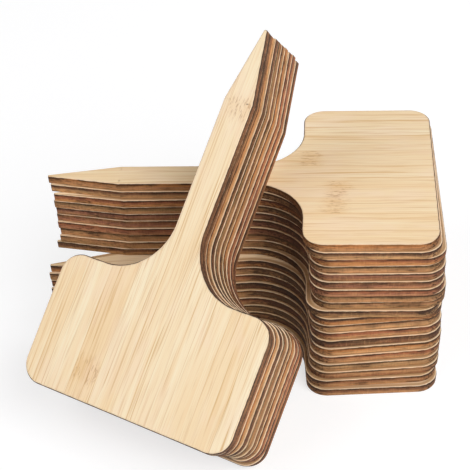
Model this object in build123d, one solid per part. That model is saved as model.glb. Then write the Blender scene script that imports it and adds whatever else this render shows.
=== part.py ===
from build123d import *
import os
from math import cos, radians, sin, tan

# A set of thirty bamboo plant labels.
# Each label is one flat T-shaped board: a wide head to write on and a stem that ends in a spike.
# Ten labels lie in the lower bundle, ten more lie on them in the upper bundle, and the last ten
# stand on their heads in front and lean back on the pile with their spikes up.
# The origin is the middle of the lowest label's head, on the face that it rests on.
# The spikes of the lying labels point along -X, and +Z is up.

# One label
label_length = 100.0
label_thickness = 2.2
head_width = 59.5
head_height = 33.7
corner_radius = 5.5
stem_width = 8.0
flare_radius = 14.7
taper_length = 18.8
taper_radius = 0.6
tip_width = 0.8
tip_radius = 0.25
arris = 0.15

# How the labels lie together
seating_gap = 0.02
leaning_clearance = 0.3

# Where the upper bundle lies on the lower one
upper_along = 2.2
upper_across = 4.9

# Where the leaning bundle stands, how far its foot is turned, and how far it leans from upright
leaning_foot_x = -52.9
leaning_turn = -29.6
lean_angle = 47.2

# How far each label has slipped from its bundle's place: along the label and across it, as shares
# of the stem's width, and its turn in degrees. The lowest label comes first, or the rearmost one.
lower_slip_shares = [
    (0, 0, 2.7), (-0.09, 0.13, 4.0), (-0.03, 0.23, 4.5), (-0.05, 0.3, 5.2), (-0.04, 0.38, 5.7),
    (-0.02, 0.44, 5.8), (-0.02, 0.5, 5.5), (0, 0.55, 5.3), (-0.04, 0.59, 5.4), (0.02, 0.58, 4.9),
]
upper_slip_shares = [
    (-0.07, -0.09, -0.6), (0.06, 0, 0.1), (0.09, -0.02, -0.3), (0.04, -0.08, -0.5), (0.04, -0.03, -0.5),
    (0.05, 0.01, -0.2), (0.01, 0.05, 0.1), (0.04, 0.04, 0.1), (-0.05, 0.01, -0.9), (-0.12, 0.06, -1.0),
]
leaning_slip_shares = [
    (0, 0.04, 0), (0.1, 0.06, 0.4), (0.09, 0.07, 0.5), (0.13, 0.04, 0.6), (0.12, 0.04, 0.6),
    (0.13, -0.01, 0.4), (0.13, -0.03, 0.2), (0.11, -0.06, 0.2), (0.1, -0.07, -0.1), (0.12, -0.04, 0),
]

# The height that one label takes up in a bundle
label_pitch = label_thickness + seating_gap

# Directions of the leaning bundle: along its foot, up its faces, and out of them
foot_way = Vector(cos(radians(leaning_turn)), sin(radians(leaning_turn)), 0)
back_way = Vector(-sin(radians(leaning_turn)), cos(radians(leaning_turn)), 0)
spike_way = back_way * sin(radians(lean_angle)) + Vector(0, 0, 1) * cos(radians(lean_angle))
face_way = foot_way.cross(spike_way)


# The label board, with the middle of its head over the origin and its spike along -X
def label_board():
    outer_edge = head_height / 2
    tip = outer_edge - label_length
    taper_start = tip + taper_length
    half_head, half_stem, half_tip = head_width / 2, stem_width / 2, tip_width / 2
    near_side = [
        (outer_edge, -half_head),
        (-outer_edge, -half_head),
        (-outer_edge, -half_stem),
        (taper_start, -half_stem),
        (tip, -half_tip),
    ]
    far_side = [(x, -y) for x, y in reversed(near_side)]
    near_radii = [corner_radius, corner_radius, flare_radius, taper_radius, tip_radius]
    outline = FilletPolyline(
        *near_side, *far_side, radius=near_radii + near_radii[::-1], close=True
    )
    board = extrude(make_face(outline), label_thickness)
    face_edges = board.edges().group_by(Axis.Z)
    return chamfer(face_edges[0] + face_edges[-1], arris)


# The places of a lying bundle's labels, each as the middle of its head and its turn
def lying_places(slip_shares, along, across, lowest_height):
    places = []
    for number, (along_share, across_share, turn) in enumerate(slip_shares):
        x = along + along_share * stem_width
        y = across + across_share * stem_width
        places.append((x, y, lowest_height + number * label_pitch, turn))
    return places


# How far back the leaning bundle's foot can stand before its stem meets a lying label's stem
def foot_limit(place):
    x, y, height, turn = place
    top = height + label_thickness
    rise = top / spike_way.Z
    crossing_x = leaning_foot_x + rise * spike_way.X - stem_width / 2 * foot_way.X
    half_stem = stem_width / 2 / cos(radians(turn))
    near_edge_y = y + (crossing_x - x) * tan(radians(turn)) - half_stem
    return near_edge_y - rise * spike_way.Y + stem_width / 2 * foot_way.Y


# The places of the leaning labels, each at the middle of its head's rear face
def leaning_places(foot):
    places = []
    for number, (up_share, foot_share, turn) in enumerate(leaning_slip_shares):
        middle = (
            foot
            + spike_way * (head_height / 2 + up_share * stem_width)
            + foot_way * (foot_share * stem_width)
            + face_way * (number * label_pitch)
        )
        head_plane = Plane(origin=middle, x_dir=-spike_way, z_dir=face_way)
        places.append(head_plane.location * Location((0, 0, 0), (0, 0, turn)))
    return places


def save(shape, name):
    shape.label = name
    export_step(shape, f"parts/{name}.step")


os.makedirs("parts", exist_ok=True)
board = label_board()
bundle_height = len(lower_slip_shares) * label_pitch
lower_places = lying_places(lower_slip_shares, 0, 0, 0)
upper_places = lying_places(upper_slip_shares, upper_along, upper_across, bundle_height)

for bundle, places in (("lower", lower_places), ("upper", upper_places)):
    for number, (x, y, height, turn) in enumerate(places, start=1):
        place = Location((x, y, height), (0, 0, turn))
        save(place * board, f"{bundle}_label_{number:02d}")

# The rearmost leaning label stops just short of the lying stems that it crosses
foot_y = min(foot_limit(place) for place in lower_places + upper_places)
foot_y -= leaning_clearance / cos(radians(lean_angle)) / cos(radians(leaning_turn))
leaning_foot = Vector(leaning_foot_x, foot_y, 0)
for number, place in enumerate(leaning_places(leaning_foot), start=1):
    save(place * board, f"leaning_label_{number:02d}")
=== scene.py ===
"""Thirty bamboo plant labels in three bundles, dressed for a studio picture.

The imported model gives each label's place. Every label is built again as one closed board: its
outline is carried round an edge profile with softened arrises, and two flat faces close it. The
boards are cut from sheets of glued bamboo strips, so the material reads each label's own
millimetres, and the strips, fibres and nodes run along a label whichever way it lies. The same
material dresses the cut edge, which the laser has burnt in another tone on each label.
"""

from __future__ import annotations

import logging
from dataclasses import dataclass
from enum import Enum
from math import cos, pi, radians, sin

import bpy
import numpy as np
from mathutils import Matrix, Vector

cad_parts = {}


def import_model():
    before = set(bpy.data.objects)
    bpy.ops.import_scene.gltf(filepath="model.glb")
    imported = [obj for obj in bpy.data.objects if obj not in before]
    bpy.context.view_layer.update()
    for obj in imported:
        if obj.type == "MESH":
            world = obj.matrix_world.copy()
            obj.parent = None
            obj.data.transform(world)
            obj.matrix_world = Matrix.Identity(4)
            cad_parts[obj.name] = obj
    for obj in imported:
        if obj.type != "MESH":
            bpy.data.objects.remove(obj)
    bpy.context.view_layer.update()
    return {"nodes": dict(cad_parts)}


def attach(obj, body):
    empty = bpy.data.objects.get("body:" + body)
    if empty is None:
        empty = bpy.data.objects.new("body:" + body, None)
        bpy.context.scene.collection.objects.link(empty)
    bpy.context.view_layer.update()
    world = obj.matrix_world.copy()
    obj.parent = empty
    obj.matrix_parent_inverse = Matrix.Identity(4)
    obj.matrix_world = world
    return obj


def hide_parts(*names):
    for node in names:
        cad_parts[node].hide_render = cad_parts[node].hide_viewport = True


LOG = logging.getLogger("plant_labels")
MILLIMETRE = 0.001
LOWEST_LABEL = "lower_label_01"
MARGIN_ROWS = 2
Colour = tuple[float, float, float, float]


def add_object(name: str, data: bpy.types.ID) -> bpy.types.Object:
    """Adds an object with that mesh, lamp or camera to the scene."""
    made = bpy.data.objects.new(name, data)
    bpy.context.scene.collection.objects.link(made)
    return made


def linear(red: int, green: int, blue: int) -> Colour:
    """Turns a display colour into the scene's linear light.

    The display's curve is a straight line near black, and a shifted power above it.

    Args:
        red: Display red, from 0 to 255.
        green: Display green, from 0 to 255.
        blue: Display blue, from 0 to 255.

    Returns:
        The linear colour with full opacity.
    """
    line_end, line_slope, shift, power = 0.04045, 12.92, 0.055, 2.4
    shares = np.array([red, green, blue]) / 255
    curve = ((shares + shift) / (1 + shift)) ** power
    light = np.where(shares <= line_end, shares / line_slope, curve)
    return (*map(float, light), 1.0)


class Burn(Enum):
    """The tones that the laser leaves on a cut edge, as display colours."""

    SAND = (220, 172, 118)
    AMBER = (214, 142, 80)
    RUSSET = (180, 108, 72)
    ROSE = (166, 108, 86)
    OLIVE = (164, 130, 86)
    TAN = (196, 144, 98)
    COCOA = (138, 92, 62)
    UMBER = (106, 74, 52)
    SOOT = (70, 50, 36)

    def colour(self) -> Colour:
        """Returns the tone in linear light."""
        return linear(*self.value)


@dataclass(frozen=True)
class LabelShape:
    """The sizes of one label, in metres.

    The label's own axes have their origin in the middle of the head, on the underside: X runs from
    the spike to the head, Y across the label and Z through its thickness. The corner scorch is how
    strongly the laser scorches an outer corner, where a flare has 1.
    """

    length: float = 0.100
    thickness: float = 0.0022
    head_width: float = 0.0595
    head_height: float = 0.0337
    corner_radius: float = 0.0055
    stem_width: float = 0.008
    flare_radius: float = 0.0147
    taper_length: float = 0.0188
    taper_radius: float = 0.0006
    tip_width: float = 0.0008
    tip_radius: float = 0.00025
    corner_scorch: float = 0.45

    @property
    def outer_edge(self) -> float:
        """Where the head ends along X."""
        return self.head_height / 2

    @property
    def tip(self) -> float:
        """Where the spike ends along X."""
        return self.outer_edge - self.length

    def corners(self) -> tuple[np.ndarray, np.ndarray]:
        """Lists the outline's sharp corners, anticlockwise seen from above.

        Returns:
            The corners, one row each, and the radius that rounds each corner.
        """
        taper_start = self.tip + self.taper_length
        side = np.array([
            (self.outer_edge, self.head_width / 2),
            (-self.outer_edge, self.head_width / 2),
            (-self.outer_edge, self.stem_width / 2),
            (taper_start, self.stem_width / 2),
            (self.tip, self.tip_width / 2),
        ])
        radii = [self.corner_radius] * 2 + [self.flare_radius, self.taper_radius, self.tip_radius]
        other_side = side[::-1] * (1, -1)
        return np.concatenate([side, other_side]), np.array(radii + radii[::-1])

    def outline(self, step: float, least: int) -> tuple[np.ndarray, np.ndarray, np.ndarray]:
        """Rounds the corners and samples the outline.

        A corner of radius r whose sides turn by an angle t becomes an arc that starts r tan(t / 2)
        before the corner. The arc's centre lies r to the inner side of its start, and the arc's
        points are that start turned about the centre by shares of t. Straight runs between the
        arcs are divided evenly.

        Args:
            step: The longest distance between two points.
            least: The fewest spans of an arc.

        Returns:
            The points, the outward normals, and how strongly the laser scorched each point: 0 on
            a straight run, some at an outer corner and 1 in a flare, one row each.
        """
        corners, radii = self.corners()
        inward = corners - np.roll(corners, 1, axis=0)
        inward /= np.linalg.norm(inward, axis=1, keepdims=True)
        onward = np.roll(inward, -1, axis=0)
        crossed = inward[:, 0] * onward[:, 1] - inward[:, 1] * onward[:, 0]
        turns = np.arctan2(crossed, (inward * onward).sum(axis=1))
        reach = (radii * np.tan(np.abs(turns) / 2))[:, None]
        starts, ends = corners - inward * reach, corners + onward * reach
        points, normals, bends = [], [], []
        for number, (turn, radius) in enumerate(zip(turns, radii)):
            spans = max(least, int(np.ceil(radius * abs(turn) / step)))
            angles = turn * np.linspace(0, 1, spans + 1)
            outward = np.array([inward[number, 1], -inward[number, 0]])
            turned = np.stack([
                outward[0] * np.cos(angles) - outward[1] * np.sin(angles),
                outward[0] * np.sin(angles) + outward[1] * np.cos(angles),
            ], axis=1)
            centre = starts[number] - outward * radius * np.sign(turn)
            points.append(centre + turned * radius * np.sign(turn))
            normals.append(turned)
            bends.append(np.full(spans + 1, 1.0 if turn < 0 else self.corner_scorch))
            run = starts[(number + 1) % len(turns)] - ends[number]
            pieces = int(np.ceil(np.linalg.norm(run) / step))
            between = np.linspace(0, 1, pieces + 1)[1:-1, None]
            points.append(ends[number] + between * run)
            normals.append(np.repeat(turned[-1:], len(between), axis=0))
            bends.append(np.zeros(len(between)))
        return np.concatenate(points), np.concatenate(normals), np.concatenate(bends)

    def half_width(self, along: np.ndarray) -> np.ndarray:
        """Gives half of the spike's width at a place along X, level from where the taper ends."""
        share = np.clip((along - self.tip) / self.taper_length, 0, 1)
        return (self.tip_width + (self.stem_width - self.tip_width) * share) / 2


@dataclass(frozen=True)
class EdgeProfile:
    """The section of a label's cut edge, in metres.

    Attributes:
        arris: The radius of the softened edge between a face and the wall.
        kerf: How far the wall leans in on its way down.
        margin: How far the outer margin's row lies inside the outline.
        inner_margin: How far the inner margin's row lies inside it.
        roughness: How deep the burn has eaten into the wall.
        arris_spans: How many spans an arris has.
        wall_spans: How many spans the wall has.
    """

    arris: float = 0.00026
    kerf: float = 0.00012
    margin: float = 0.0009
    inner_margin: float = 0.0032
    roughness: float = 0.00005
    arris_spans: int = 4
    wall_spans: int = 7

    def rows(self, thickness: float) -> tuple[np.ndarray, np.ndarray]:
        """Lists the rows that the outline is carried along, from the upper face to the lower one.

        A row lies a little inside the outline, at a height. The upper arris is a quarter circle,
        the wall leans in by the kerf on its way down, and the lower arris is a quarter circle too.
        Two margins on either face keep the soft edge and its stains clear of the flat middle.

        Args:
            thickness: The board's thickness.

        Returns:
            How far each row lies inside the outline, and its height.
        """
        angles = np.linspace(0, pi / 2, self.arris_spans + 1)
        inner, drop = self.arris * (1 - np.sin(angles)), self.arris * (1 - np.cos(angles))
        wall = np.linspace(0, 1, self.wall_spans + 1)[1:-1]
        margins = np.array([self.inner_margin, self.margin])
        faces = np.ones(len(margins))
        inset = np.concatenate([
            margins, inner, wall * self.kerf, self.kerf + inner[::-1], margins[::-1]
        ])
        wall_top, wall_height = thickness - self.arris, thickness - 2 * self.arris
        height = np.concatenate([
            faces * thickness, thickness - drop, wall_top - wall * wall_height, drop[::-1], faces * 0
        ])
        return inset, height

    def travelled(self, thickness: float) -> tuple[np.ndarray, np.ndarray]:
        """Measures each row's way along the section, in metres, positive on the edge.

        Args:
            thickness: The board's thickness.

        Returns:
            The way from the upper arris's border, and the way from the lower one's.
        """
        inset, height = self.rows(thickness)
        steps = np.hypot(np.diff(inset), np.diff(height))
        way = np.concatenate([[0], np.cumsum(steps)])
        upper_border, lower_border = way[MARGIN_ROWS], way[-MARGIN_ROWS - 1]
        return way - upper_border, lower_border - way


@dataclass(frozen=True)
class LabelCut:
    """How one label was cut: its place on the sheet and the laser's burn.

    Attributes:
        upper: The burn's tone near the upper face.
        lower: The burn's tone near the lower face.
        across: How far the label lies across the sheet, in millimetres.
        along: How far the sheet's nodes lie along the label, in millimetres.
    """

    upper: Burn
    lower: Burn
    across: float
    along: float


@dataclass
class LabelBoard:
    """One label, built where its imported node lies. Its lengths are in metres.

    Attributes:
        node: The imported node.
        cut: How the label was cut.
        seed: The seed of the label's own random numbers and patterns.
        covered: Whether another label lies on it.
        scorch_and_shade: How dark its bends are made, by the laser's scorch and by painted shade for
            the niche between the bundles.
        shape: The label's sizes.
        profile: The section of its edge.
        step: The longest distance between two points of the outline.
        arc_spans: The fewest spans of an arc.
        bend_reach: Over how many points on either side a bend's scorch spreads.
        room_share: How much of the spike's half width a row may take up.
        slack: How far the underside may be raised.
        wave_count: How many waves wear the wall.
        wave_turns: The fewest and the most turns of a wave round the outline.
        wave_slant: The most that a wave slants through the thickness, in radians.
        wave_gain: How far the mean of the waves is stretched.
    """

    node: bpy.types.Object
    cut: LabelCut
    seed: int
    covered: bool
    scorch_and_shade: float
    shape: LabelShape = LabelShape()
    profile: EdgeProfile = EdgeProfile()
    step: float = 0.0006
    arc_spans: int = 5
    bend_reach: int = 5
    room_share: float = 0.6
    slack: float = 0.00009
    wave_count: int = 14
    wave_turns: tuple[int, int] = (20, 260)
    wave_slant: float = 9.0
    wave_gain: float = 2.0

    def place(self) -> Matrix:
        """Reads the label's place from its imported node.

        The spread of the node's area is least through the thickness and greatest along the label.
        The spike is the end that lies farther from the middle of the area.

        Returns:
            The matrix that takes the label's own axes to the shared frame.
        """
        mesh = self.node.data
        mesh.calc_loop_triangles()
        points = np.zeros(len(mesh.vertices) * 3)
        mesh.vertices.foreach_get("co", points)
        points = points.reshape(-1, 3)
        indices = np.zeros(len(mesh.loop_triangles) * 3, int)
        mesh.loop_triangles.foreach_get("vertices", indices)
        corners = points[indices.reshape(-1, 3)]
        sides = corners[:, 1:] - corners[:, :1]
        areas = np.linalg.norm(np.cross(sides[:, 0], sides[:, 1]), axis=1)
        middle = (corners.mean(axis=1) * areas[:, None]).sum(axis=0) / areas.sum()
        offset = corners - middle
        total = offset.sum(axis=1)
        spread = np.einsum("t,tci,tcj->ij", areas, offset, offset)
        spread += np.einsum("t,ti,tj->ij", areas, total, total)
        axes = np.linalg.eigh(spread)[1]
        through, along = axes[:, 0], axes[:, 2]
        through = through * np.sign(through[2])
        reach = (points - middle) @ along
        along = along * np.sign(-(reach.max() + reach.min()))
        across = np.cross(through, along)
        basis = np.stack([along, across, through], axis=1)
        local = points @ basis
        low, high = local.min(axis=0), local.max(axis=0)
        origin = np.array([
            high[0] - self.shape.outer_edge, (low[1] + high[1]) / 2, low[2]
        ])
        matrix = np.eye(4)
        matrix[:3, :3] = basis
        matrix[:3, 3] = basis @ origin
        return Matrix(matrix.tolist())

    def wear(self, around: np.ndarray, height: np.ndarray, random: np.random.Generator) -> np.ndarray:
        """Works out how far the cut wall is eaten inwards, as shares of the roughness.

        It is the mean of sine waves of whole numbers of turns round the outline, each with its own
        phase and slant, so the wall closes on itself.

        Args:
            around: The share of the way round the outline, along the first row of the grid.
            height: The height of each row, as a share of the thickness.
            random: The label's own random numbers.

        Returns:
            The shares, from 0 to 1, one row for each height.
        """
        turns = random.integers(*self.wave_turns, self.wave_count)[:, None, None]
        phases = random.uniform(0, 2 * pi, self.wave_count)[:, None, None]
        slants = random.uniform(-self.wave_slant, self.wave_slant, self.wave_count)[:, None, None]
        waves = np.sin(2 * pi * turns * around + slants * height[:, None] + phases)
        return 0.5 + 0.5 * np.clip(waves.mean(axis=0) * self.wave_gain, -1, 1)

    def faces(self, rows: int, columns: int) -> list[list[int]]:
        """Joins the points of the grid into faces.

        Args:
            rows: The number of rows, from the upper face to the lower one.
            columns: The number of points round the outline.

        Returns:
            A quad between each two rows and columns, and last the upper and the lower face.
        """
        column = np.arange(columns)
        following = (column + 1) % columns
        starts = np.arange(rows - 1)[:, None] * columns
        quads = np.stack([
            starts + column, starts + columns + column,
            starts + columns + following, starts + following,
        ], axis=-1).reshape(-1, 4)
        lower_face = column[::-1] + (rows - 1) * columns
        return [*quads.tolist(), column.tolist(), lower_face.tolist()]

    def build(self) -> bpy.types.Object:
        """Builds the label's mesh.

        The surface is a grid: its columns go round the outline and its rows follow the edge
        profile. A point is the outline's point moved inwards along its normal. A move of d becomes
        r (1 - e^(-d / r)), where r is the room that the spike leaves, so a row never passes the
        middle. The underside is raised by a slack that changes evenly over the label, as on boards
        sanded a little unevenly, but the lowest label's lies flat.

        Returns:
            The new object, with its place in its mesh.
        """
        random = np.random.default_rng(self.seed)
        outline, normals, bends = self.shape.outline(self.step, self.arc_spans)
        inset, height = self.profile.rows(self.shape.thickness)
        rows, columns = len(inset), len(outline)
        room = self.room_share * self.shape.half_width(outline[:, 0])
        around = np.arange(columns) / columns
        share = height / self.shape.thickness
        on_wall = np.sin(pi * np.clip(share, 0, 1))[:, None]
        eaten = self.profile.roughness * on_wall * self.wear(around, share, random)
        depth = room * (1 - np.exp(-(inset[:, None] + eaten) / room))
        flat = outline - depth[..., None] * normals
        tilt = random.uniform(-1, 1, 2) / (self.shape.length, self.shape.head_width)
        slack = 0.0 if self.node.name == LOWEST_LABEL else self.slack
        lift = slack * np.clip(0.5 + flat @ tilt, 0, 1)
        tall = height[:, None] + lift * (1 - share[:, None])
        local = np.concatenate([flat, tall[..., None]], axis=-1).reshape(-1, 3)
        world = np.array(self.place())
        points = local @ world[:3, :3].T + world[:3, 3]

        mesh = bpy.data.meshes.new(self.node.name + "_board")
        mesh.from_pydata(points.tolist(), [], self.faces(rows, columns))
        smooth = np.ones(len(mesh.polygons), bool)
        smooth[-2:] = False
        mesh.polygons.foreach_set("use_smooth", smooth)
        self.mark(mesh, local, normals, bends)
        mesh.update()
        return add_object(self.node.name + "_board", mesh)

    def mark(self, mesh: bpy.types.Mesh, local: np.ndarray, normals: np.ndarray,
             bends: np.ndarray) -> None:
        """Writes what the material reads on each point of the mesh.

        Board is the place on the label. Rim is the way from the upper arris's border and from the
        lower one's, positive on the edge, and how squarely the cut crosses the fibres. Cut is the
        label's seed and its place on the sheet. All lengths are in millimetres. Burn_upper and
        burn_lower are the burn's tones, and covered is 1 where another label lies on this one.
        The bends are darkened: the laser slows down in a bend, so its scorch there is stronger, and
        the bundle's strength adds painted shade where the stacked bundles' bends lie in shade. It is
        the mean of the bends within a few points on either side, times that strength.

        Args:
            mesh: The label's mesh.
            local: The points on the label's own axes.
            normals: The outline's outward normals.
            bends: How strongly the laser scorched each of the outline's points.
        """
        from_upper, from_lower = self.profile.travelled(self.shape.thickness)
        rows, columns = len(from_upper), len(normals)
        count = rows * columns
        rim = np.zeros((rows, columns, 3))
        rim[..., 0] = from_upper[:, None] / MILLIMETRE
        rim[..., 1] = from_lower[:, None] / MILLIMETRE
        rim[..., 2] = np.abs(normals[:, 0])
        own = (self.seed, self.cut.across, self.cut.along)
        shifts = range(-self.bend_reach, self.bend_reach + 1)
        near_bends = np.mean([np.roll(bends, shift) for shift in shifts], axis=0) * self.scorch_and_shade
        layers = [
            ("board", "FLOAT_VECTOR", "vector", local / MILLIMETRE),
            ("rim", "FLOAT_VECTOR", "vector", rim),
            ("cut", "FLOAT_VECTOR", "vector", np.tile(own, count)),
            ("burn_upper", "FLOAT_COLOR", "color", np.tile(self.cut.upper.colour(), count)),
            ("burn_lower", "FLOAT_COLOR", "color", np.tile(self.cut.lower.colour(), count)),
            ("covered", "FLOAT", "value", np.full(count, self.covered)),
            ("scorch_and_shade", "FLOAT", "value", np.tile(near_bends, rows)),
        ]
        for name, kind, field, values in layers:
            layer = mesh.attributes.new(name, kind, "POINT")
            layer.data.foreach_set(field, values.astype(np.float32).ravel())


@dataclass(frozen=True)
class Pattern:
    """Soft noise, read at a place.

    Attributes:
        repeats: How often it repeats in one unit of the place, along its X, Y and Z. On a label
            these are a millimetre along it, across it and through it.
        offset: What sets it apart from the other patterns.
        detail: How many finer layers it has.
        rough: How strong each finer layer is.
    """

    repeats: tuple[float, float, float]
    offset: float = 0.0
    detail: float = 2.0
    rough: float = 0.5


@dataclass(frozen=True)
class Fade:
    """A soft change from nothing at one value to the full strength at another."""

    start: float
    full: float
    strength: float = 1.0


class Term:
    """A number in a material. Arithmetic on it adds the Math nodes that work it out."""

    def __init__(self, graph: Graph, socket: bpy.types.NodeSocket) -> None:
        """Keeps the graph and the socket that gives the number."""
        self.graph = graph
        self.socket = socket

    def __add__(self, other: Term | float) -> Term:
        """Returns the sum."""
        return self.graph.math("ADD", self, other)

    def __sub__(self, other: Term | float) -> Term:
        """Returns the difference."""
        return self.graph.math("SUBTRACT", self, other)

    def __rsub__(self, other: float) -> Term:
        """Returns a number less this one."""
        return self.graph.math("SUBTRACT", other, self)

    def __mul__(self, other: Term | float) -> Term:
        """Returns the product."""
        return self.graph.math("MULTIPLY", self, other)

    def __truediv__(self, other: Term | float) -> Term:
        """Returns the quotient."""
        return self.graph.math("DIVIDE", self, other)

    __radd__ = __add__
    __rmul__ = __mul__


Input = Term | float | tuple


class Graph:
    """The nodes of one material or of the world."""

    def __init__(self, owner: bpy.types.Material | bpy.types.World) -> None:
        """Empties the nodes of a material or of the world."""
        owner.use_nodes = True
        self.tree = owner.node_tree
        self.tree.nodes.clear()

    def node(self, kind: str, settings: dict[str, object] | None = None,
             inputs: dict[str | int, Input] | None = None) -> bpy.types.Node:
        """Adds a node.

        Args:
            kind: The node's type.
            settings: Values of the node's own properties, set first.
            inputs: Values or links of its sockets, by name or number.

        Returns:
            The node.
        """
        made = self.tree.nodes.new(kind)
        for name, value in (settings or {}).items():
            setattr(made, name, value)
        for name, value in (inputs or {}).items():
            socket = made.inputs[name]
            if isinstance(value, Term):
                self.tree.links.new(value.socket, socket)
            else:
                socket.default_value = value
        return made

    def term(self, node: bpy.types.Node, output: str | int = 0) -> Term:
        """Returns one output of a node."""
        return Term(self, node.outputs[output])

    def math(self, operation: str, *values: Term | float) -> Term:
        """Adds a Math node of that operation and returns its value."""
        inputs = dict(enumerate(values))
        return self.term(self.node("ShaderNodeMath", {"operation": operation}, inputs))

    def attribute(self, name: str, output: str = "Fac") -> Term:
        """Reads one of the mesh's own attributes."""
        return self.term(self.node("ShaderNodeAttribute", {"attribute_name": name}), output)

    def parts(self, vector: Term) -> tuple[Term, Term, Term]:
        """Splits a vector into its three numbers."""
        split = self.node("ShaderNodeSeparateXYZ", inputs={0: vector})
        return self.term(split, 0), self.term(split, 1), self.term(split, 2)

    def vector(self, x: Term, y: Term, z: Term) -> Term:
        """Joins three numbers into a vector."""
        return self.term(self.node("ShaderNodeCombineXYZ", inputs={0: x, 1: y, 2: z}))

    def noise(self, place: Term, seed: Term | float, pattern: Pattern) -> Term:
        """Adds a pattern of soft noise.

        Args:
            place: Where the noise is read.
            seed: What sets one label or strip apart from another.
            pattern: The noise's scale and layers.

        Returns:
            The noise, about a half.
        """
        settings = {"operation": "MULTIPLY"}
        scaled = self.node("ShaderNodeVectorMath", settings, {0: place, 1: pattern.repeats})
        return self.term(self.node("ShaderNodeTexNoise", {"noise_dimensions": "4D"}, {
            "Vector": self.term(scaled), "W": seed + pattern.offset, "Scale": 1.0,
            "Detail": pattern.detail, "Roughness": pattern.rough,
        }))

    def sway(self, place: Term, seed: Term | float, pattern: Pattern) -> Term:
        """Adds a pattern of soft noise about zero."""
        return self.noise(place, seed, pattern) - 0.5

    def fade(self, value: Term, fade: Fade) -> Term:
        """Rises softly from 0 at the fade's start to its strength where it is full."""
        return self.term(self.node("ShaderNodeMapRange", {"interpolation_type": "SMOOTHSTEP"}, {
            "Value": value, "From Min": fade.start, "From Max": fade.full, "To Max": fade.strength,
        }))

    def ramp(self, value: Term, stops: list[tuple[float, Colour]], kind: str = "LINEAR") -> Term:
        """Turns a number into a colour.

        Args:
            value: The number.
            stops: Each stop's place and colour, in order.
            kind: How the colours between the stops are worked out.

        Returns:
            The colour.
        """
        made = self.node("ShaderNodeValToRGB", inputs={0: value})
        made.color_ramp.interpolation = kind
        elements = made.color_ramp.elements
        elements[0].position = stops[0][0]
        elements[0].color = stops[0][1]
        elements.remove(elements[1])
        for place, colour in stops[1:]:
            elements.new(place).color = colour
        return self.term(made)

    def choice(self, share: Term, values: tuple[float, ...]) -> Term:
        """Picks one of several numbers by a share, each over an equal part of it."""
        stops = [(number / len(values), (v, v, v, 1.0)) for number, v in enumerate(values)]
        return self.ramp(share, stops, "CONSTANT")

    def mix(self, share: Term | float, first: Input, second: Input) -> Term:
        """Mixes two colours by the second one's share."""
        made = self.node("ShaderNodeMix", {"data_type": "RGBA"}, {0: share, 6: first, 7: second})
        return self.term(made, 2)

    def seen(self) -> Term:
        """Gives 1 for rays from the camera, a mirror or glass, and 0 for the light's own rays."""
        rays = self.node("ShaderNodeLightPath")
        mirrored = self.term(rays, "Is Glossy Ray") + self.term(rays, "Is Transmission Ray")
        return self.term(rays, "Is Camera Ray") + mirrored

    def finish(self, shader: bpy.types.Node, output: str = "ShaderNodeOutputMaterial") -> None:
        """Links the last shader to an output node of that type."""
        self.node(output, inputs={"Surface": self.term(shader)})


@dataclass(frozen=True)
class BambooSheet:
    """The sheet of glued bamboo strips that the labels are cut from.

    Attributes:
        strip_width: The width of one strip, in millimetres.
        glue_width: How much of a strip's side the glue stains, in millimetres.
        tones: How dark each strip is, side by side across the sheet.
        nodes: Where each strip's node lies along the sheet, as a share of the sheet's length.
        length: How far the nodes repeat along the sheet, in millimetres.
        start: Where along a label the sheet's own zero lies, in millimetres.
    """

    strip_width: float = 6.9
    glue_width: float = 0.16
    tones: tuple[float, ...] = (
        0.50, 0.28, 0.62, 0.20, 0.26, 0.24, 0.32, 0.58, 0.12,
        0.60, 0.58, 0.56, 0.54, 0.56, 0.66, 0.54, 0.42, 0.56,
    )
    nodes: tuple[float, ...] = (
        0.05, 0.95, 0.5475, 0.90, 0.185, 0.93, 0.97, 0.06, 0.92,
        0.04, 0.95, 0.455, 0.46, 0.94, 0.425, 0.96, 0.05, 0.93,
    )
    length: float = 200.0
    start: float = -100.0


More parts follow.
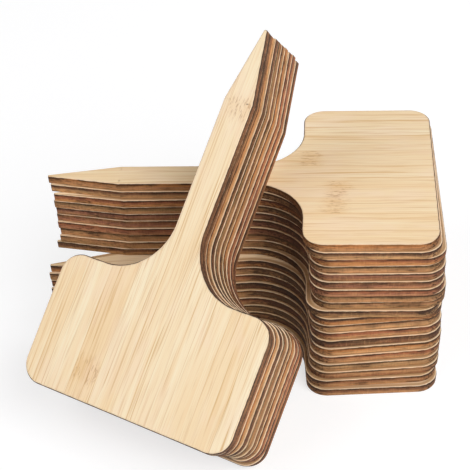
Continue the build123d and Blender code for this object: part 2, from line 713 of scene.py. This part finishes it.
@dataclass(frozen=True)
class SandedFace:
    """The sanded face of a bamboo board."""

    sheet: BambooSheet = BambooSheet()

    light: Colour = linear(255, 239, 207)
    middle: Colour = linear(248, 219, 176)
    dark: Colour = linear(231, 188, 132)
    pink: Colour = linear(251, 224, 196)
    seam: Colour = linear(214, 164, 98)
    node: Colour = linear(178, 124, 76)

    # The strips: how far their sides wander in millimetres, and how their tones vary
    wander: Pattern = Pattern((0.03, 0.12, 0.1))
    wander_reach: float = 0.9
    strip_offset: float = 3.7
    tone_span: float = 0.62
    tone_base: float = 0.12
    drift: Pattern = Pattern((0.022, 0.16, 0.1))
    broad: Pattern = Pattern((0.014, 0.85, 0.8))
    soft_strength: float = 0.6
    fine: Pattern = Pattern((0.035, 3.4, 3.0), detail=3.0, rough=0.62)
    fine_strength: float = 0.9
    blush: Pattern = Pattern((0.08, 0.2, 0.2), 71.0)
    blush_fade: Fade = Fade(0.45, 0.65, 0.35)
    glue: Pattern = Pattern((0.02, 0.0, 0.0))
    glue_fade: Fade = Fade(0.3, 0.62, 0.7)

    # The dark fibres, which gather in some places
    gather: Pattern = Pattern((0.02, 0.35, 0.2), 36.0, 1.0)
    thread: Pattern = Pattern((0.04, 1.9, 2.0), 40.0, 1.0)
    thread_gather: float = 0.3
    thread_fade: Fade = Fade(0.58, 0.7, 0.75)
    hair: Pattern = Pattern((0.09, 4.4, 3.0), 44.0, 1.0)
    hair_gather: float = 0.2
    hair_fade: Fade = Fade(0.54, 0.66, 0.45)
    line_strength: float = 0.6

    # The nodes, whose borders are ragged, in millimetres from their middle
    ragged: Pattern = Pattern((0.25, 0.9, 0.0), 5.0, 1.0)
    ragged_reach: float = 4.5
    band_fade: Fade = Fade(4.6, 0.6)
    band_tone: float = 0.2
    dash: Pattern = Pattern((0.5, 2.9, 0.0), 11.0, 2.0, 0.6)
    dash_fade: Fade = Fade(0.52, 0.64)
    knot_strength: float = 0.5

    # The relief of the grain
    fine_height: float = 0.6
    broad_height: float = 0.4
    line_depth: float = 0.5
    seam_depth: float = 0.4

    def dress(self, graph: Graph, place: Term, cut: Term) -> tuple[Term, Term]:
        """Works out the face's colour and relief.

        The strips lie side by side across the label. Each has its own tone, which drifts along the
        strip, a faint blush, a thin glue line at its sides, long fibres in several widths that
        gather here and there, and at most one node, where a short band is darker and the fibres
        break into dashes.

        Args:
            graph: The material's nodes.
            place: The place on the label, in millimetres.
            cut: The label's seed and its place on the sheet.

        Returns:
            The colour, and the height of the grain for the bump.
        """
        sheet = self.sheet
        x, y, z = graph.parts(place)
        seed, across, along = graph.parts(cut)
        y = y + graph.sway(place, seed, self.wander) * self.wander_reach
        place = graph.vector(x, y, z)
        strips = (y + across) / sheet.strip_width
        number = graph.math("FLOOR", strips)
        wrapped = graph.math("FLOORED_MODULO", number, float(len(sheet.tones)))
        share = (wrapped + 0.5) / len(sheet.tones)
        strip_seed = seed + wrapped * self.strip_offset

        soft = graph.sway(place, strip_seed, self.drift)
        broad = graph.sway(place, strip_seed, self.broad)
        fine = graph.sway(place, strip_seed, self.fine)
        tone = graph.choice(share, sheet.tones) * self.tone_span + self.tone_base
        tone = tone + (soft + broad) * self.soft_strength + fine * self.fine_strength

        gather = graph.sway(place, seed, self.gather)
        threads = graph.noise(place, seed, self.thread) + gather * self.thread_gather
        hairs = graph.noise(place, seed, self.hair) + gather * self.hair_gather
        lines = graph.fade(threads, self.thread_fade) + graph.fade(hairs, self.hair_fade)

        reach = x - along - (graph.choice(share, sheet.nodes) * sheet.length + sheet.start)
        reach = graph.math("WRAP", reach, sheet.length / 2, -sheet.length / 2)
        reach = reach + graph.sway(place, strip_seed, self.ragged) * self.ragged_reach
        band = graph.fade(graph.math("ABSOLUTE", reach), self.band_fade)
        knots = band * graph.fade(graph.noise(place, strip_seed, self.dash), self.dash_fade)
        tone = tone + band * self.band_tone

        colour = graph.ramp(tone, [(0.0, self.light), (0.5, self.middle), (1.0, self.dark)])
        blush = graph.fade(graph.noise(place, seed, self.blush), self.blush_fade)
        colour = graph.mix(blush, colour, self.pink)
        side = graph.math("ABSOLUTE", strips - number - 0.5)
        glue = graph.fade(side, Fade(0.5 - sheet.glue_width / sheet.strip_width, 0.5))
        stain = glue * graph.fade(graph.noise(place, strip_seed, self.glue), self.glue_fade)
        colour = graph.mix(stain, colour, self.seam)
        colour = graph.mix(lines * self.line_strength, colour, self.seam)
        colour = graph.mix(knots * self.knot_strength, colour, self.node)
        height = fine * self.fine_height + broad * self.broad_height
        height = height - lines * self.line_depth - (glue + knots) * self.seam_depth
        return colour, height


@dataclass(frozen=True)
class BurntEdge:
    """The wall that the laser has cut and burnt."""

    singed: Colour = linear(226, 168, 112)
    char: Colour = linear(50, 33, 23)
    olive: Colour = linear(160, 126, 84)
    brown: Colour = linear(132, 90, 62)
    red: Colour = linear(176, 108, 76)
    orange: Colour = linear(218, 156, 100)

    # How the label's two tones meet, in millimetres of height, and how the tint drifts
    layer: Pattern = Pattern((0.03, 0.1, 1.3), 3.0)
    layer_reach: float = 2.6
    level_fade: Fade = Fade(0.6, 1.6)
    hue: Pattern = Pattern((0.13, 0.3, 0.9), 23.0, 3.0, 0.6)
    hue_places: tuple[float, ...] = (0.3, 0.44, 0.56, 0.7)
    hue_strength: float = 0.26

    # The streaks of the fibres, and the patches where the burn is deeper or lighter
    streak: Pattern = Pattern((0.1, 1.7, 2.4), 0.0, 4.0, 0.65)
    pale_streak: Fade = Fade(0.54, 0.74, 0.4)
    dark_streak: Fade = Fade(0.47, 0.3, 0.55)
    patch: Pattern = Pattern((0.14, 0.14, 0.35), 17.0)
    pale_patch: Fade = Fade(0.55, 0.75, 0.25)
    dark_patch: Fade = Fade(0.46, 0.3, 0.4)
    crossing_loss: float = 0.6

    # The paler foot of the wall, which a deep burn doesn't have
    foot_reach: float = 1.4
    foot_fade: Fade = Fade(1.0, 2.1)
    foot_brightness: Fade = Fade(0.04, 0.2, 0.36)

    # The scorch under the upper arris, and the darkening in the bends, which is the laser's scorch
    # and painted shade
    run: Pattern = Pattern((0.06, 0.12, 0.0), 61.0)
    run_fade: Fade = Fade(0.35, 0.6, 0.7)
    run_least: float = 0.3
    scorch_fade: Fade = Fade(1.0, 0.35, 0.85)
    bend_least: float = 0.7
    bend_fade: Fade = Fade(0.4, 0.6, 0.5)

    # The dots of fibre ends, and the laser's upright marks
    dot: Pattern = Pattern((0.3, 2.6, 2.8), 31.0, 1.0)
    dot_fade: Fade = Fade(0.52, 0.6)
    dot_least: float = 0.25
    dot_crossing: float = 0.6
    crossing_fade: Fade = Fade(0.1, 0.8, 0.2)
    tick: Pattern = Pattern((2.3, 2.3, 0.5), 81.0, 2.0, 0.7)
    pale_tick: Fade = Fade(0.5, 0.72, 0.25)
    dark_tick: Fade = Fade(0.48, 0.3, 0.16)
    darkest: float = 0.9

    # The relief of the wall
    streak_height: float = 0.7
    dot_depth: float = 0.4
    tick_height: float = 0.4

    def dress(self, graph: Graph, place: Term, cut: Term, rim: Term) -> tuple[Term, Term]:
        """Works out the wall's colour and relief.

        The burn goes from one tone to another through the thickness, and drifts in tint along the
        edge. The bamboo's bundles of fibre show as long streaks where the cut runs along them and
        as dots where it crosses them, and the laser leaves fine upright marks. The wall is scorched
        under the upper arris, darker in the bends from the laser's scorch and from painted shade,
        and paler at its foot.

        Args:
            graph: The material's nodes.
            place: The place on the label, in millimetres.
            cut: The label's seed and its place on the sheet.
            rim: How far the point is from either arris's border, in millimetres, and how squarely
                the cut crosses the fibres there.

        Returns:
            The colour, and the height of the streaks for the bump.
        """
        height = graph.parts(place)[2]
        seed = graph.parts(cut)[0]
        upper, _, cross = graph.parts(rim)
        layers = graph.sway(place, seed, self.layer)
        tone = graph.mix(graph.fade(height + layers * self.layer_reach, self.level_fade),
                         graph.attribute("burn_lower", "Color"),
                         graph.attribute("burn_upper", "Color"))
        tints = (self.olive, self.brown, self.red, self.orange)
        drift = graph.ramp(graph.noise(place, seed, self.hue), list(zip(self.hue_places, tints)))
        colour = graph.mix(self.hue_strength, tone, drift)

        streak = graph.noise(place, seed, self.streak)
        patch = graph.noise(place, seed, self.patch)
        brightness = graph.term(graph.node("ShaderNodeRGBToBW", inputs={0: tone}))
        foot = graph.fade(upper + layers * self.foot_reach, self.foot_fade)
        foot = foot * graph.fade(brightness, self.foot_brightness)
        light = graph.fade(streak, self.pale_streak) + graph.fade(patch, self.pale_patch) + foot
        colour = graph.mix(light * (1 - cross * self.crossing_loss), colour, self.singed)
        ticks = graph.noise(place, seed, self.tick)
        colour = graph.mix(graph.fade(ticks, self.pale_tick), colour, self.singed)

        run = graph.fade(graph.noise(place, seed, self.run), self.run_fade) + self.run_least
        bend = graph.fade(patch, self.bend_fade) + self.bend_least
        dots = graph.fade(graph.noise(place, seed, self.dot), self.dot_fade)
        dots = dots * (cross * self.dot_crossing + self.dot_least)
        dark = graph.fade(streak, self.dark_streak) + graph.fade(patch, self.dark_patch)
        dark = dark + graph.fade(ticks, self.dark_tick) + graph.fade(cross, self.crossing_fade)
        dark = dark + dots + run * graph.fade(upper, self.scorch_fade)
        # The bends are darkened by the laser's scorch and by painted shade, strongest on the stacked
        # bundles, whose bends lie in the shade between the bundles
        dark = dark + bend * graph.attribute("scorch_and_shade")
        colour = graph.mix(graph.math("MINIMUM", dark, self.darkest), colour, self.char)
        relief = streak * self.streak_height - dots * self.dot_depth + ticks * self.tick_height
        return colour, relief


@dataclass(frozen=True)
class BambooFinish:
    """Sanded natural bamboo, with an edge that a laser has burnt.

    Its fades are read against the distance from an arris's border, in millimetres: above zero on
    the wall, and below zero on the face.
    """

    face: SandedFace = SandedFace()
    edge: BurntEdge = BurntEdge()

    bare: Colour = linear(255, 226, 190)
    # A painted shade tone, for the shade on a covered label's ledge next to the label above
    ledge_shade_tone: Colour = linear(172, 128, 84)
    smoke: Colour = linear(150, 112, 78)

    # Where the burn begins and ends. It begins earlier on an open label's cross-cut border.
    chip: Pattern = Pattern((0.5, 0.5, 0.0), 51.0, 2.0, 0.6)
    burn_chips: float = 0.3
    early_fade: Fade = Fade(0.6, 0.9, 0.15)
    burn_start: Fade = Fade(0.1, 0.22)
    burn_end: Fade = Fade(-0.1, 0.02)

    # The painted shade on a covered label's ledge, where the label above shades it, and the smoke
    # stain on the face
    ledge_shade_chips: float = 0.2
    ledge_shade_start: Fade = Fade(-0.02, -0.3)
    ledge_shade_end: Fade = Fade(-3.0, -1.0, 0.8)
    smoke_chips: float = 0.5
    smoke_fade: Fade = Fade(-0.5, 0.1, 0.3)

    # The bare arris, which differs from label to label and is darker in a bend, from the scorch and
    # the painted shade there
    bare_fade: Fade = Fade(-0.22, -0.04)
    sanding: Pattern = Pattern((0.03, 0.03, 0.0), detail=1.0)
    sanding_spread: float = 7.3
    sanding_fade: Fade = Fade(0.32, 0.62, 0.55)
    sanding_least: float = 0.4
    scorch_and_shade_loss: float = 1.35

    # The surface. The relief is in metres.
    grain_height: float = 0.35
    relief: float = 0.00004
    roughness: float = 0.52
    burn_roughness: float = 0.22
    grain_gloss: float = 0.1
    gloss: float = 0.22

    def material(self) -> bpy.types.Material:
        """Builds the bamboo board's material.

        The burn starts a little below the upper arris, which sanding has bared, and ends above the
        lower one. A trace of smoke stains the faces next to the cut. On covered labels a border of
        painted shade, for the shade that the label above casts on the ledge, lies inside the bare
        arris.

        Returns:
            The material.
        """
        material = bpy.data.materials.new("bamboo_board")
        graph = Graph(material)
        place, cut = graph.attribute("board", "Vector"), graph.attribute("cut", "Vector")
        rim = graph.attribute("rim", "Vector")
        seed = graph.parts(cut)[0]
        upper, lower, cross = graph.parts(rim)
        face, grain = self.face.dress(graph, place, cut)
        burnt, streaks = self.edge.dress(graph, place, cut, rim)

        chips = graph.sway(place, seed, self.chip)
        nearest = graph.math("MINIMUM", upper, lower)
        covered = graph.attribute("covered")
        early = graph.fade(cross, self.early_fade) * (1 - covered)
        burn = graph.fade(upper + chips * self.burn_chips + early, self.burn_start)
        burn = burn * graph.fade(lower, self.burn_end)
        # Painted shade on a covered label's ledge, next to the wall of the label above, where that
        # label shades it
        ledge_shade = graph.fade(nearest + chips * self.ledge_shade_chips, self.ledge_shade_start)
        ledge_shade = ledge_shade * graph.fade(nearest, self.ledge_shade_end) * covered
        smoke = graph.fade(nearest + chips * self.smoke_chips, self.smoke_fade)
        sanded = graph.noise(place, seed * self.sanding_spread, self.sanding)
        bareness = graph.fade(sanded, self.sanding_fade) + self.sanding_least
        # Darker in the bends, from the scorch and the painted shade there
        bareness = bareness * (1 - graph.attribute("scorch_and_shade") * self.scorch_and_shade_loss)
        colour = graph.mix(ledge_shade, face, self.ledge_shade_tone)
        colour = graph.mix(smoke, colour, self.smoke)
        colour = graph.mix(graph.fade(nearest, self.bare_fade) * bareness, colour, self.bare)
        colour = graph.mix(burn, colour, burnt)

        bump = graph.node("ShaderNodeBump", None, {
            "Strength": 1.0,
            "Distance": self.relief,
            "Height": grain * (1 - burn) * self.grain_height + streaks * burn,
        })
        roughness = burn * self.burn_roughness - grain * self.grain_gloss + self.roughness
        graph.finish(graph.node("ShaderNodeBsdfPrincipled", None, {
            "Base Color": colour,
            "Roughness": roughness,
            "Specular IOR Level": self.gloss,
            "Normal": graph.term(bump),
        }))
        return material


@dataclass(frozen=True)
class FloorFinish:
    """A matt pale floor, which the camera sees as white with faint shadows."""

    tint: Colour = linear(236, 236, 238)
    seen_tint: Colour = linear(176, 176, 177)
    glow: Colour = linear(255, 255, 255)
    lift: float = 0.67
    speck: Pattern = Pattern((1.0, 1.0, 1.0), 1.0)
    roughness: float = 0.86
    speck_roughness: float = 0.1
    gloss: float = 0.1

    def material(self) -> bpy.types.Material:
        """Builds the floor's material.

        A camera or mirror ray sees a darker floor with a glow added, which takes the open floor to
        white and keeps the shadows faint. All other rays see the matt floor.

        Returns:
            The material.
        """
        material = bpy.data.materials.new("matt_floor")
        graph = Graph(material)
        place = graph.term(graph.node("ShaderNodeTexCoord"), "Object")
        specks = graph.sway(place, 0.0, self.speck)
        matt = {
            "Roughness": specks * self.speck_roughness + self.roughness,
            "Specular IOR Level": self.gloss,
        }
        plain = graph.node("ShaderNodeBsdfPrincipled", None, {**matt, "Base Color": self.tint})
        seen = graph.node("ShaderNodeBsdfPrincipled", None, {
            **matt,
            "Base Color": self.seen_tint,
            "Emission Color": self.glow,
            "Emission Strength": self.lift,
        })
        graph.finish(graph.node("ShaderNodeMixShader", None, {
            0: graph.seen(), 1: graph.term(plain), 2: graph.term(seen),
        }))
        return material


@dataclass
class Bundle:
    """Labels that lie on one another, from the one that the others lie on.

    Attributes:
        name: The bundle's name, which its labels' names begin with.
        cuts: How each label was cut.
        first_seed: The number that the labels' seeds are counted from.
        open_top: Whether nothing lies on the last label.
        scorch_and_shade: How dark the labels' bends are made: the laser's scorch, plus painted shade
            where the bundle's bends lie in the niche between the bundles.
    """

    name: str
    cuts: list[LabelCut]
    first_seed: int
    open_top: bool
    scorch_and_shade: float

    def build(self, nodes: dict[str, bpy.types.Object], material: bpy.types.Material) -> None:
        """Builds the bundle's labels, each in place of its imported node.

        Args:
            nodes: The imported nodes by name.
            material: The labels' material.
        """
        for number, cut in enumerate(self.cuts, start=1):
            name = f"{self.name}_label_{number:02d}"
            covered = number < len(self.cuts) or not self.open_top
            seed = self.first_seed + number
            board = LabelBoard(nodes[name], cut, seed, covered, self.scorch_and_shade).build()
            board.data.materials.append(material)
            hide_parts(name)
            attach(board, name)
            LOG.info("%s: %d faces", board.name, len(board.data.polygons))


@dataclass(frozen=True)
class Lamp:
    """A square soft lamp.

    Attributes:
        name: The lamp's name.
        place: Where its middle is, in metres.
        size: The length of its side, in metres.
        watts: Its power.
    """

    name: str
    place: tuple[float, float, float]
    size: float
    watts: float

    def hang(self, aim: Vector) -> None:
        """Hangs the lamp so that it faces a point."""
        light = bpy.data.lights.new(self.name, "AREA")
        light.shape = "SQUARE"
        light.size = self.size
        light.energy = self.watts
        lamp = add_object(self.name, light)
        lamp.location = self.place
        lamp.rotation_euler = (aim - lamp.location).to_track_quat("-Z", "Y").to_euler()


@dataclass(frozen=True)
class Studio:
    """The floor, the lights and the camera, in metres and degrees."""

    floor_size: float = 6.0
    lamps: tuple[Lamp, ...] = (
        Lamp("key_lamp", (0.42, -0.52, 0.6), 0.8, 7.35),
        Lamp("fill_lamp", (-0.6, -0.3, 0.64), 0.7, 2.8),
        Lamp("back_lamp", (0.48, 0.62, 0.5), 0.6, 2.15),
    )
    lamp_aim: tuple[float, float, float] = (-0.03, -0.01, 0.03)
    soft_light: Colour = linear(250, 250, 252)
    soft_strength: float = 0.1
    white: Colour = linear(255, 255, 255)
    camera_place: tuple[float, float, float] = (-0.01399, -0.30922, 0.26686)
    camera_pitch: float = 37.482
    camera_turn: float = 3.628
    camera_roll: float = -3.058
    focal_pixels: float = 1496.4
    image_pixels: float = 470.0
    sensor_millimetres: float = 36.0
    nearest_seen: float = 0.01

    def floor(self) -> None:
        """Lays the floor, a flat square that the lowest label rests on."""
        half = self.floor_size / 2
        corners = [(-half, -half, 0), (half, -half, 0), (half, half, 0), (-half, half, 0)]
        mesh = bpy.data.meshes.new("studio_floor")
        mesh.from_pydata(corners, [], [(0, 1, 2, 3)])
        mesh.materials.append(FloorFinish().material())
        floor = add_object("studio_floor", mesh)

    def world(self) -> None:
        """Makes the surroundings: an even soft light, seen by the camera and mirrors as white."""
        world = bpy.data.worlds.new("studio_world")
        bpy.context.scene.world = world
        graph = Graph(world)
        soft = graph.node("ShaderNodeBackground", None, {
            "Color": self.soft_light, "Strength": self.soft_strength,
        })
        white = graph.node("ShaderNodeBackground", None, {"Color": self.white})
        mixed = graph.node("ShaderNodeMixShader", None, {
            0: graph.seen(), 1: graph.term(soft), 2: graph.term(white),
        })
        graph.finish(mixed, "ShaderNodeOutputWorld")

    def camera(self) -> None:
        """Sets the camera at the photograph's place.

        The camera's forward direction dips by the pitch and is turned about the vertical. Its right
        and up directions are then rolled about the forward one.
        """
        turn, pitch = radians(self.camera_turn), radians(self.camera_pitch)
        roll = radians(self.camera_roll)
        level = Vector((cos(turn), sin(turn), 0))
        ahead = Vector((-sin(turn) * cos(pitch), cos(turn) * cos(pitch), -sin(pitch)))
        upright = level.cross(ahead)
        right = level * cos(roll) + upright * sin(roll)
        above = upright * cos(roll) - level * sin(roll)
        data = bpy.data.cameras.new("photo_camera")
        data.sensor_width = self.sensor_millimetres
        data.lens = self.focal_pixels / self.image_pixels * self.sensor_millimetres
        data.clip_start = self.nearest_seen
        camera = add_object("photo_camera", data)
        axes = Matrix((right, above, -ahead)).transposed()
        camera.matrix_world = Matrix.Translation(self.camera_place) @ axes.to_4x4()
        bpy.context.scene.camera = camera

    def build(self) -> None:
        """Sets up the whole studio."""
        self.floor()
        self.world()
        for lamp in self.lamps:
            lamp.hang(Vector(self.lamp_aim))
        self.camera()


UPPER_CUTS = [
    LabelCut(Burn.UMBER, Burn.OLIVE, 12.0, 35.0),
    LabelCut(Burn.TAN, Burn.OLIVE, 47.0, 90.0),
    LabelCut(Burn.OLIVE, Burn.TAN, 71.0, 10.0),
    LabelCut(Burn.RUSSET, Burn.ROSE, 5.0, 60.0),
    LabelCut(Burn.COCOA, Burn.ROSE, 88.0, 120.0),
    LabelCut(Burn.ROSE, Burn.COCOA, 33.0, 75.0),
    LabelCut(Burn.OLIVE, Burn.TAN, 99.0, 20.0),
    LabelCut(Burn.RUSSET, Burn.AMBER, 60.0, 150.0),
    LabelCut(Burn.UMBER, Burn.SAND, 22.0, 105.0),
    LabelCut(Burn.AMBER, Burn.TAN, 93.0, 0.0),
]
LOWER_CUTS = [
    LabelCut(Burn.COCOA, Burn.TAN, 41.0, 15.0),
    LabelCut(Burn.COCOA, Burn.TAN, 8.0, 130.0),
    LabelCut(Burn.TAN, Burn.COCOA, 79.0, 55.0),
    LabelCut(Burn.SAND, Burn.OLIVE, 55.0, 95.0),
    LabelCut(Burn.RUSSET, Burn.TAN, 17.0, 140.0),
    LabelCut(Burn.AMBER, Burn.SAND, 66.0, 25.0),
    LabelCut(Burn.SOOT, Burn.UMBER, 28.0, 80.0),
    LabelCut(Burn.RUSSET, Burn.TAN, 84.0, 110.0),
    LabelCut(Burn.TAN, Burn.SAND, 50.0, 45.0),
    LabelCut(Burn.UMBER, Burn.AMBER, 3.0, 65.0),
]
LEANING_CUTS = [
    LabelCut(Burn.SOOT, Burn.COCOA, 75.0, 70.0),
    LabelCut(Burn.ROSE, Burn.RUSSET, 14.0, 100.0),
    LabelCut(Burn.RUSSET, Burn.ROSE, 58.0, 30.0),
    LabelCut(Burn.AMBER, Burn.TAN, 36.0, 125.0),
    LabelCut(Burn.COCOA, Burn.OLIVE, 90.0, 50.0),
    LabelCut(Burn.OLIVE, Burn.COCOA, 2.0, 85.0),
    LabelCut(Burn.SOOT, Burn.UMBER, 64.0, 5.0),
    LabelCut(Burn.AMBER, Burn.SAND, 45.0, 115.0),
    LabelCut(Burn.SOOT, Burn.COCOA, 19.0, 40.0),
    LabelCut(Burn.UMBER, Burn.UMBER, 30.0, 0.0),
]


def main() -> None:
    """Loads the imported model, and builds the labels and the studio."""
    logging.basicConfig(level=logging.INFO, format="%(message)s")
    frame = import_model()
    bpy.context.scene.view_settings.view_transform = "Standard"
    material = BambooFinish().material()
    bundles = [
        # The bends' darkness: the laser's scorch, with painted shade on the two stacked bundles,
        # whose bends lie in shade
        Bundle("lower", LOWER_CUTS, 100, open_top=False, scorch_and_shade=0.62),
        Bundle("upper", UPPER_CUTS, 200, open_top=True, scorch_and_shade=0.5),
        Bundle("leaning", LEANING_CUTS, 300, open_top=True, scorch_and_shade=0.12),
    ]
    for bundle in bundles:
        bundle.build(frame["nodes"], material)
    Studio().build()


if __name__ == "__main__":
    main()
